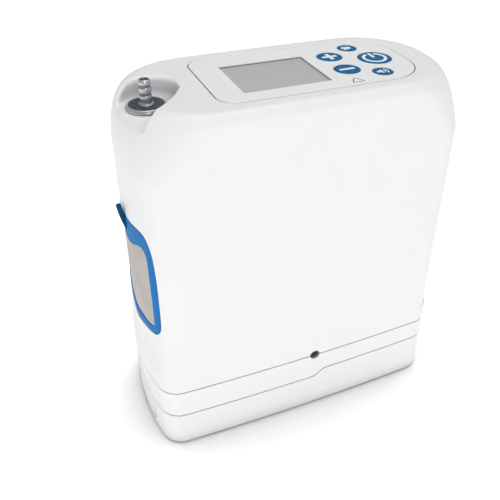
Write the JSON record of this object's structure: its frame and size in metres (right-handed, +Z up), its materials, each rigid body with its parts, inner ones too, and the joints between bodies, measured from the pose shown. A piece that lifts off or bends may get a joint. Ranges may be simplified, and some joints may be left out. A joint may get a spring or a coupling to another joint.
{
  "type": "portable oxygen concentrator",
  "caption": "Upright portable oxygen concentrator with a slide-off battery base, a keypad and display on top, a barbed hose nozzle in a corner pocket and a pull-off intake filter.",
  "frame": {"origin": "on the ground, under the middle of the case", "axes": "+Z up, -Y out of the front face, -X out of the narrow side with the nozzle and the intake filter"},
  "size_m": [0.1843, 0.0828, 0.2114],
  "materials": {
    "case_white": "fine moulded satin white",
    "battery_white": "fine moulded satin white",
    "keypad_grey": "printed satin film, light grey",
    "display_grey": "clear lens over a grey-green reflective display",
    "display_module": "display module, grey-green",
    "key_blue": "satin deep blue with pale inlaid marks",
    "filter_blue": "satin mid blue moulding",
    "mesh_beige": "fine woven dust mesh, warm grey",
    "nozzle_grey": "satin cool grey moulding",
    "dark_ring": "dark grey insert",
    "seal_rubber": "black elastomer",
    "filter_felt": "white pressed fibre",
    "inner_grey": "grey moulded inner part",
    "vent_white": "satin off-white grille",
    "socket_black": "black socket body",
    "contact_brass": "plated contact blades",
    "cell_wrap": "blue sleeved cells",
    "board_green": "circuit board",
    "chip_black": "packaged electronic parts",
    "cast_metal": "cast and machined aluminium",
    "rotor_steel": "laminated steel",
    "copper_wound": "steel laminations with copper winding",
    "screw_steel": "zinc plated steel",
    "tube_clear": "milky silicone tube",
    "bed_grains": "packed zeolite beads"
  },
  "bodies": {
    "unit": {"main_housing": "case_white", "base_cover": "case_white", "display_overlay": "keypad_grey", "screen_window": "display_grey", "lcd_module": "display_module", "ui_board": "board_green", "key_switches": "chip_black", "nozzle_fitting": "nozzle_grey", "nozzle_ring": "dark_ring", "nozzle_seal": "seal_rubber", "output_filter": "filter_felt", "filter_seat": "inner_grey", "exhaust_grille": "vent_white", "dc_inlet": "socket_black", "port_sleeve": "inner_grey", "base_contacts": "contact_brass", "housing_screws": "screw_steel", "chassis": "inner_grey", "main_board": "board_green", "board_parts": "chip_black", "buzzer": "chip_black", "compressor_body": "cast_metal", "motor_stator": "copper_wound", "cylinders": "cast_metal", "cylinder_heads": "cast_metal", "isolators": "seal_rubber", "fan_frame": "socket_black", "intake_muffler": "inner_grey", "valve_manifold": "inner_grey", "solenoid_valves": "screw_steel", "product_tank": "inner_grey", "oxygen_sensor": "board_green", "hoses": "tube_clear", "sieve_columns": "cast_metal", "sieve_beds": "bed_grains", "column_caps": "inner_grey", "column_seals": "seal_rubber", "column_handle": "inner_grey", "column_grip": "seal_rubber"},
    "battery": {"battery_case": "battery_white", "battery_lid": "battery_white", "battery_cells": "cell_wrap", "battery_board": "board_green", "battery_contacts": "contact_brass", "battery_feet": "seal_rubber"},
    "latch": {"battery_latch": "battery_white"},
    "intake_filter": {"filter_frame": "filter_blue", "filter_mesh": "mesh_beige"},
    "key_plus": {"button_plus": "key_blue"},
    "key_minus": {"button_minus": "key_blue"},
    "key_power": {"button_power": "key_blue"},
    "key_alert": {"button_alert": "key_blue"},
    "key_sound": {"button_sound": "key_blue"},
    "fan": {"fan_rotor": "dark_ring"},
    "crankshaft": {"crank_rotor": "rotor_steel"},
    "first_piston": {"piston_a": "cast_metal"},
    "second_piston": {"piston_b": "cast_metal"}
  },
  "joints": [
    {"name": "battery_slide", "type": "slide", "parent": "unit", "child": "battery", "axis": [1, 0, 0], "range_m": [0, 0.19]},
    {"name": "latch_press", "type": "slide", "parent": "battery", "child": "latch", "axis": [1, 0, 0], "range_m": [0, 0.0018], "stiffness_N_per_m": 250},
    {"name": "filter_pull", "type": "slide", "parent": "unit", "child": "intake_filter", "axis": [-1, 0, 0], "range_m": [0, 0.03]},
    {"name": "plus_press", "type": "slide", "parent": "unit", "child": "key_plus", "axis": [0, 0, -1], "range_m": [0, 0.0005], "stiffness_N_per_m": 200},
    {"name": "minus_press", "type": "slide", "parent": "unit", "child": "key_minus", "axis": [0, 0, -1], "range_m": [0, 0.0005], "stiffness_N_per_m": 200},
    {"name": "power_press", "type": "slide", "parent": "unit", "child": "key_power", "axis": [0, 0, -1], "range_m": [0, 0.0005], "stiffness_N_per_m": 200},
    {"name": "alert_press", "type": "slide", "parent": "unit", "child": "key_alert", "axis": [0, 0, -1], "range_m": [0, 0.0005], "stiffness_N_per_m": 200},
    {"name": "sound_press", "type": "slide", "parent": "unit", "child": "key_sound", "axis": [0, 0, -1], "range_m": [0, 0.0005], "stiffness_N_per_m": 200},
    {"name": "fan_spin", "type": "hinge", "parent": "unit", "child": "fan", "pos_m": [-0.0705, 0, 0.108], "axis": [1, 0, 0], "continuous": true},
    {"name": "crank_spin", "type": "hinge", "parent": "unit", "child": "crankshaft", "pos_m": [0, 0, 0.082], "axis": [1, 0, 0], "continuous": true},
    {"name": "first_stroke", "type": "slide", "parent": "unit", "child": "first_piston", "axis": [0, 1, 0], "range_m": [-0.003, 0.003]},
    {"name": "second_stroke", "type": "slide", "parent": "unit", "child": "second_piston", "axis": [0, 1, 0], "range_m": [-0.003, 0.003]}
  ],
  "couplings": [
    {"joint": "second_stroke", "follows": "first_stroke", "ratio": 1}
  ]
}
